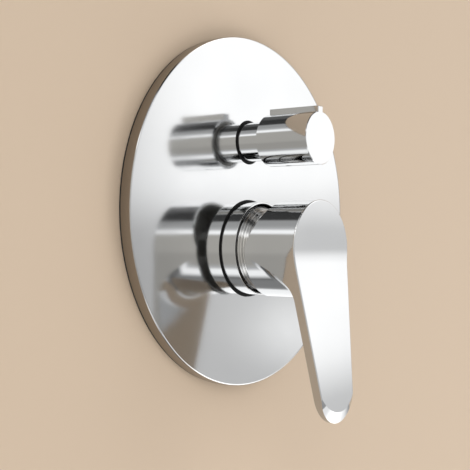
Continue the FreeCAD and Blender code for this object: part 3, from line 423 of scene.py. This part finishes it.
def bend_group():
    group, given, result = new_group("bend", {"Past": 0.0, "Half Length": 0.01, "Slope": 0.1}, ["Height"])
    hinge = calc(group, "SMOOTH_MAX", given["Past"], 0.0, given["Half Length"])
    group.links.new(calc(group, "MULTIPLY", hinge, given["Slope"]), result["Height"])
    return group


LATHE = lathe_group()
INSIDE = inside_group()
BEND = bend_group()
print("groups:", LATHE.name, INSIDE.name, BEND.name)

# %% [markdown]
# The plate, lever, knob, sleeve and collar are brass, buffed and chromed. A perfect
# mirror would look like glass, so the polish group puts a little haze and wave in it.
# Where no wheel gets, inside a hollow piece, the chrome is dull. Inside the knob and on its rear
# face it is also darker, a painted shade for a wider hollow than the solid's. The plate's outer
# rim gets a painted shade too: a darker, warmer tint, as if it mirrored the shadowed wall next
# to it. The shader itself stays in the material.

# %% Chrome
WAVE_DEPTH = 0.003 * MM
HAZE_SIZE = 90.0
WAVE_SIZE = 25.0
CHROME_TINTS = [(0.3, (0.540, 0.545, 0.549)), (0.7, (0.562, 0.566, 0.568))]
# painted shade: a darker, warmer tint on the plate's outer rim, as if it mirrored the shadowed wall
RIM_SHADE_TINT = (0.35, 0.325, 0.295, 1.0)
DULL_AND_SHADE_WARMTH = 0.97  # share of blue in dull chrome and in the knob's painted shade
BEFORE_ALL = -1.0  # a depth in front of every piece


def use(tree, group, **values):
    return add(tree, "ShaderNodeGroup", {"node_tree": group}, **values).outputs


def shade(material, colour, roughness, height, bump_m, metallic=0.0, **sockets):
    """Wire the shader: a colour socket, a roughness socket and a bump of a given depth."""
    tree = material.node_tree
    bump = add(tree, "ShaderNodeBump", Height=height, Distance=bump_m)
    shader = add(tree, "ShaderNodeBsdfPrincipled", Base_Color=colour, Roughness=roughness,
                 Metallic=metallic, Normal=bump.outputs["Normal"], **sockets)
    add(tree, "ShaderNodeOutputMaterial", Surface=shader.outputs[0])
    return material


def bend_height(tree, way, start, half_length, slope):
    """Height of a face that bends off below a line, or outside of a circle about Y."""
    place, radius = from_axis(tree, 0.0)
    run = calc(tree, "MULTIPLY", place["Z"], -1.0) if way == "down" else radius
    past = calc(tree, "SUBTRACT", run, start)
    return use(tree, BEND, Past=past, Half_Length=half_length, Slope=slope)["Height"]


def chrome(name, low, high, dull_and_shade=None, dull_and_shade_level=0.4, dull_rough=0.6, shaded_rim_r=None, bend=None):
    """Mirror chrome with roughness from low to high.

    dull_and_shade gives axis height, radius and depth of an inside that no wheel reaches,
    which is dull and tinted to dull_and_shade_level, a painted shade in the knob; shaded_rim_r
    is the radius past which the outer rim gets a darker, warmer tint, a painted shade; bend
    gives the way a face bends off, "down" or "out", and its start, half length and slope.
    """
    material = empty_material(name)
    tree = material.node_tree
    film = use(tree, POLISH, Haze_Size=HAZE_SIZE, Low=low, High=high, Wave_Size=WAVE_SIZE)
    tint, rough, height = ramp(tree, film["Height"], CHROME_TINTS), film["Roughness"], film["Height"]
    # dull inside of a hollow piece; in the knob this darker tint is painted shade
    if dull_and_shade:
        axis_z, radius, start_y = dull_and_shade
        mask = use(tree, INSIDE, Axis_Z=axis_z, Radius=radius, Start_Y=start_y)["Mask"]
        tint = blend(tree, mask, tint, (dull_and_shade_level, dull_and_shade_level, dull_and_shade_level * DULL_AND_SHADE_WARMTH, 1.0))
        rough = add(tree, "ShaderNodeMix", {"data_type": "FLOAT"}, _0=mask, _2=rough, _3=dull_rough).outputs[0]
    # painted shade on the plate's outer rim: its darker, warmer tint
    if shaded_rim_r:
        face = use(tree, INSIDE, Axis_Z=0.0, Radius=shaded_rim_r, Start_Y=BEFORE_ALL)["Mask"]
        tint = blend(tree, face, RIM_SHADE_TINT, tint)
    if bend:
        height = calc(tree, "MULTIPLY_ADD", bend_height(tree, *bend), 1 / WAVE_DEPTH, height)
    return shade(material, tint, rough, height, WAVE_DEPTH, metallic=1.0)


print("wave depth in chrome:", WAVE_DEPTH)

# %% [markdown]
# The other finishes are of two families. Cast, moulded and foamed pieces have an even
# grain, in two tones that come in by patches. Turned pieces have rings, a little
# darker in their grooves. The dome under the lever is turned and then chromed without
# buffing, so its rings draw the reflections out into streaks. Its tint is a painted
# reflection on top of that: dark in the grooves and light on the crests of the rings.

# %% Turned and grained families
RING_DEPTH = 0.02 * MM
STREAK_RINGS = 1100.0
STREAK_DEPTH = 0.18 * MM
STREAK_ROUGH = (0.05, 0.14)
# painted reflection: dark and light tints that stand in for the dome's streaky reflections
STREAK_REFLECTION_TINTS = [(0.34, (0.14, 0.14, 0.14)), (0.64, (0.58, 0.58, 0.57))]
BRASS_TONES = ((0.58, 0.41, 0.18), (0.70, 0.52, 0.25))
BRASS_ROUGH = (0.18, 0.32)


def streaked(name, axis_z):
    material = empty_material(name)
    tree = material.node_tree
    low, high = STREAK_ROUGH
    cut = use(tree, LATHE, Axis_Z=axis_z, Rings=STREAK_RINGS, Low=low, High=high)
    # painted reflection: the tint follows the ring height, dark in the grooves
    tint = ramp(tree, cut["Height"], STREAK_REFLECTION_TINTS)
    return shade(material, tint, cut["Roughness"], cut["Height"], STREAK_DEPTH, metallic=1.0)


def lathed(name, dark, light, axis_z, low, high):
    material = empty_material(name)
    tree = material.node_tree
    cut = use(tree, LATHE, Axis_Z=axis_z, Low=low, High=high)
    colour = ramp(tree, cut["Height"], [(0.3, dark), (0.7, light)])
    return shade(material, colour, cut["Roughness"], cut["Height"], RING_DEPTH, metallic=1.0)


def brass(name, axis_z=0.0):
    return lathed(name, *BRASS_TONES, axis_z, *BRASS_ROUGH)


def grained(name, dark, light, grain_size, grain_m, low, high, **sockets):
    material = empty_material(name)
    tree = material.node_tree
    skin = use(tree, GRAIN, Grain_Size=grain_size, Low=low, High=high)
    colour = ramp(tree, skin["Patches"], [(0.0, dark), (1.0, light)])
    return shade(material, colour, skin["Roughness"], skin["Height"], grain_m, **sockets)


print("families: chrome, streaked, lathed, brass, grained")

# %% [markdown]
# Now every slot of the part gets its finish. Pieces of one slot could all share one
# material, but three chrome pieces are hollow, and turned pieces need their rings
# about their own axis, so those have a finish to themselves.

# %% Dress the nodes
LEVER_Z = -18.0 * MM
KNOB_Z = 34.0 * MM
BUFFED = (0.045, 0.075)  # roughness of the well buffed pieces
SATIN = (0.09, 0.115)  # and of the wide plate
# Two tones, fineness and depth of the grain, and the range of roughness.
GRAINED = {
    "black_rubber": ((0.006, 0.006, 0.006), (0.014, 0.014, 0.014), 1800.0, 0.02 * MM, 0.55, 0.70),
    "foam_gasket": ((0.018, 0.018, 0.018), (0.04, 0.04, 0.04), 1100.0, 0.12 * MM, 0.85, 0.95),
    "cast_brass": ((0.50, 0.34, 0.14), (0.62, 0.44, 0.20), 900.0, 0.06 * MM, 0.36, 0.52),
    "plated_stem": ((0.42, 0.42, 0.40), (0.52, 0.52, 0.50), 1400.0, 0.03 * MM, 0.28, 0.40),
    "cartridge_plastic": ((0.66, 0.66, 0.62), (0.72, 0.72, 0.68), 1600.0, 0.02 * MM, 0.40, 0.55),
    "guide_plastic": ((0.025, 0.045, 0.09), (0.035, 0.06, 0.115), 1600.0, 0.02 * MM, 0.35, 0.50),
    "disc_ceramic": ((0.80, 0.78, 0.73), (0.86, 0.84, 0.80), 2400.0, 0.005 * MM, 0.12, 0.20),
    "grey_plug": ((0.32, 0.32, 0.33), (0.37, 0.37, 0.38), 1500.0, 0.02 * MM, 0.25, 0.35),
}
GRAINED_MORE = {
    "black_rubber": {"Specular_IOR_Level": 0.15},
    "cast_brass": {"metallic": 1.0},
    "plated_stem": {"metallic": 1.0},
}

finishes = {name: grained(name, *row, **GRAINED_MORE.get(name, {})) for name, row in GRAINED.items()}
finishes["polished_chrome"] = chrome("polished_chrome", *BUFFED)
finishes["turned_brass"] = brass("turned_brass")
finishes["steel_hardware"] = lathed("steel_hardware", (0.30, 0.30, 0.31), (0.42, 0.42, 0.43), 0.0, 0.25, 0.4)
own_finish = {
    # the plate's outer rim, past 84.9 mm, has a painted shade: a darker, warmer tint
    "cover_plate": chrome(
        "plate_chrome", *SATIN, dull_and_shade=(0.0, 84.4 * MM, -6.0 * MM), dull_and_shade_level=0.30, dull_rough=0.42,
        shaded_rim_r=84.9 * MM, bend=("out", 84.3 * MM, 0.2 * MM, -0.36)),
    "lever_handle": chrome(
        "lever_chrome", *BUFFED, dull_and_shade=(LEVER_Z, 22.2 * MM, -47.5 * MM), dull_and_shade_level=0.66,
        bend=("down", 54.0 * MM, 17.0 * MM, 0.037)),
    # painted shade: the knob's inside and rear face are dull and darkened to 0.55
    "diverter_knob": chrome(
        "knob_chrome", *BUFFED, dull_and_shade=(KNOB_Z, 11.2 * MM, -46.0 * MM), dull_and_shade_level=0.55),
    "dome_cap": streaked("dome_chrome", LEVER_Z),
    "retaining_nut": brass("nut_brass", LEVER_Z),
    "diverter_bonnet": brass("bonnet_brass", KNOB_Z),
    "diverter_spindle": brass("spindle_brass", KNOB_Z),
}
for subpart in frame["record"]["subparts"]:
    node = subpart["node"]
    slots = frame["nodes"][node].data.materials
    slots.clear()
    slots.append(own_finish.get(node, finishes[subpart["material_slot"]]))

# %% [markdown]
# The four pipe unions are turned from eight-sided brass bar. Seen from behind they
# show what the solids leave plain: the turned chamfer that rounds off the corners of
# the bar, and the pipe thread inside. A thread could be drawn as bump, but its edge
# shows at the open mouth, so it is real shape here.

# %% Section of a union
BAR_FLATS_R = 14.0 * MM
HEAD_LEN = 18.0 * MM
TURNED_FACE_R = 13.9 * MM
CHAMFER_RISE = 1.73  # radius gained per depth, for a chamfer of 30 degrees
THREAD_R = 9.3 * MM
THREAD_LEN = 16.0 * MM
THREAD_PITCH = 1.814 * MM
THREAD_DEPTH = 1.1 * MM
GROOVE_GAIN = 1.3  # steepens the flanks of the groove
CREST_FLAT = 0.15  # and cuts it short, which leaves a flat crest
MOUTH_R = THREAD_R + 1.2 * THREAD_DEPTH


def bar_radius(angle):
    """Outline of eight-sided bar, with corners on every eighth of a turn."""
    eighth = math.pi / 4
    return BAR_FLATS_R / math.cos(angle % eighth - eighth / 2)


def head_radius(y, angle):
    from_end = min(y, HEAD_LEN - y)
    return min(bar_radius(angle), TURNED_FACE_R + CHAMFER_RISE * from_end)


def thread_radius(y, angle):
    """Right-hand vee groove that runs out inside, with a countersunk mouth."""
    phase = (y / THREAD_PITCH + angle / (2 * math.pi)) % 1.0
    groove = min(max(GROOVE_GAIN * (1 - abs(2 * phase - 1)) - CREST_FLAT, 0.0), 1.0)
    run_out = min((THREAD_LEN - y) / THREAD_PITCH, 1.0)
    return max(THREAD_R + THREAD_DEPTH * groove * run_out, MOUTH_R - y)


print("union mouth radius:", round(MOUTH_R, 5))

# %% [markdown]
# Each union is one closed skin, lofted through rings of points: along the outside,
# round the spigot's end, and back out along the thread. Cutting a thread out of the
# solid would give the same shape, but with long thin triangles that shade badly.

# %% Skin of a union
RING_POINTS = 96
STEPS_PER_TURN = 10
UNION_LEN = 26.0 * MM
SPIGOT_R = 11.2 * MM
SPIGOT_EDGE = 0.6 * MM
CHANNEL_R = 6.0 * MM
CHAMFER_STEPS = [k * 0.12 * MM for k in range(7)]
SHARP_ANGLE = math.radians(28)


def union_rings():
    def ring(y, radius):
        turn = [2 * math.pi * k / RING_POINTS for k in range(RING_POINTS)]
        reach = [radius(y, a) if callable(radius) else radius for a in turn]
        return [(r * math.cos(a), y, r * math.sin(a)) for r, a in zip(reach, turn)]

    rings = [ring(y, head_radius) for y in CHAMFER_STEPS]
    rings += [ring(HEAD_LEN - y, head_radius) for y in reversed(CHAMFER_STEPS)]
    rings += [ring(HEAD_LEN, SPIGOT_R), ring(UNION_LEN - SPIGOT_EDGE, SPIGOT_R)]
    rings += [ring(UNION_LEN, SPIGOT_R - SPIGOT_EDGE), ring(UNION_LEN, CHANNEL_R)]
    rings += [ring(THREAD_LEN, CHANNEL_R)]
    count = round(THREAD_LEN / THREAD_PITCH * STEPS_PER_TURN)
    rings += [ring(THREAD_LEN * (1 - k / count), thread_radius) for k in range(count + 1)]
    return rings


def ring_skin(name, rings):
    """Closed mesh through rings of points; the last ring joins the first."""
    mesh = bpy.data.meshes.new(name)
    count = len(rings[0])
    faces = []
    for i in range(len(rings)):
        j = (i + 1) % len(rings)
        for k in range(count):
            m = (k + 1) % count
            faces.append((i * count + k, i * count + m, j * count + m, j * count + k))
    mesh.from_pydata([point for ring in rings for point in ring], [], faces)
    skin = bmesh.new()
    skin.from_mesh(mesh)
    bmesh.ops.recalc_face_normals(skin, faces=skin.faces)
    skin.to_mesh(mesh)
    skin.free()
    mesh.shade_smooth()
    mesh.set_sharp_from_angle(angle=SHARP_ANGLE)
    return mesh


union_skin = ring_skin("threaded_union", union_rings())
union_skin.materials.append(brass("union_brass"))
print("union triangles:", 2 * len(union_skin.polygons))

# %% [markdown]
# The skin is made once, with its mouth at the origin and pointing along Y. A copy is
# turned the way each socket points, and set where the solid's own box is.

# %% Threaded unions
UNION_WAYS = {
    "hot_inlet_union": (1, 0, 0),
    "cold_inlet_union": (-1, 0, 0),
    "upper_outlet_union": (0, 0, -1),
    "lower_outlet_union": (0, 0, 1),
}  # from the mouth into the body

for node, way in UNION_WAYS.items():
    way = Vector(way)
    low, high = (Vector(corner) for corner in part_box(node))
    middle = (low + high) / 2
    piece = bpy.data.objects.new(node + "_threaded", union_skin.copy())
    turn = Vector((0, 1, 0)).rotation_difference(way)
    piece.matrix_world = Matrix.Translation(middle - way * UNION_LEN / 2) @ turn.to_matrix().to_4x4()
    scene.collection.objects.link(piece)
    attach(piece, "valve")
    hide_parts(node)
    print(piece.name, "mouth at", [round(v, 4) for v in piece.matrix_world.translation])

# %% [markdown]
# The sleeve and the collar are chromed tubes. A real tube is deburred and buffed, so
# its front edge is a small round that draws a thin bright line: the solids end sharp.
# A bevel on the solids' mesh would round it too. Both are lofted again instead, with
# a ring close behind the round, which keeps the long side of the tube straight in the
# shading, or its reflections would bend.

# %% Tubes with buffed edges
TUBE_POINTS = 192
EDGE_STEPS = 6
EDGE_R = 0.3 * MM
TUBES = {
    "lever_sleeve": (LEVER_Z, 0.8 * MM),
    "knob_collar": (KNOB_Z, 1.4 * MM),
}  # height of the axis and thickness of the tube


def tube_rings(node, axis_z, thickness):
    low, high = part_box(node)
    outer_r = (high[0] - low[0]) / 2
    inner_r = outer_r - thickness
    front, back = low[1], high[1]
    profile = [(back, inner_r), (back, outer_r), (front + 2 * EDGE_R, outer_r)]
    for k in range(EDGE_STEPS + 1):
        t = math.pi / 2 * k / EDGE_STEPS
        profile.append((front + EDGE_R * (1 - math.sin(t)), outer_r - EDGE_R * (1 - math.cos(t))))
    profile += [(front, inner_r + EDGE_R / 2), (front + EDGE_R / 2, inner_r)]
    turn = [2 * math.pi * k / TUBE_POINTS for k in range(TUBE_POINTS)]
    return [[(r * math.cos(a), y, axis_z + r * math.sin(a)) for a in turn] for y, r in profile]


for node, (axis_z, thickness) in TUBES.items():
    piece = bpy.data.objects.new(node + "_buffed", ring_skin(node, tube_rings(node, axis_z, thickness)))
    piece.data.materials.append(finishes["polished_chrome"])
    scene.collection.objects.link(piece)
    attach(piece, "valve")
    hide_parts(node)
    print(piece.name, "triangles:", 2 * len(piece.data.polygons))

# %% [markdown]
# The body is a sand casting: where its barrels, arms, rib and lugs meet there is a
# soft hollow, and its edges are dull. The solid has sharp meets instead, and a bevel
# fails where so many of them run together. So a copy of its mesh is remeshed into even
# small cells and smoothed a few times: flat and round areas stay where they are, and
# only edges and corners soften, as they do in a mould.

# %% Casting
CAST_CELL = 0.9 * MM
CAST_ROUNDS = 14
CAST_SOFTNESS = 0.5


def cast_skin(node):
    soft = bpy.data.objects.new("cast_copy", frame["nodes"][node].data.copy())
    scene.collection.objects.link(soft)
    remesh = soft.modifiers.new("cells", "REMESH")
    remesh.mode = "VOXEL"
    remesh.voxel_size = CAST_CELL
    smooth = soft.modifiers.new("smooth", "SMOOTH")
    smooth.factor = CAST_SOFTNESS
    smooth.iterations = CAST_ROUNDS
    graph = bpy.context.evaluated_depsgraph_get()
    mesh = bpy.data.meshes.new_from_object(soft.evaluated_get(graph))
    bpy.data.objects.remove(soft)
    mesh.shade_smooth()
    return mesh


casting = bpy.data.objects.new("valve_casting", cast_skin("valve_body"))
casting.data.materials.clear()
casting.data.materials.append(finishes["cast_brass"])
scene.collection.objects.link(casting)
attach(casting, "valve")
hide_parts("valve_body")
print("casting triangles:", 2 * len(casting.data.polygons))
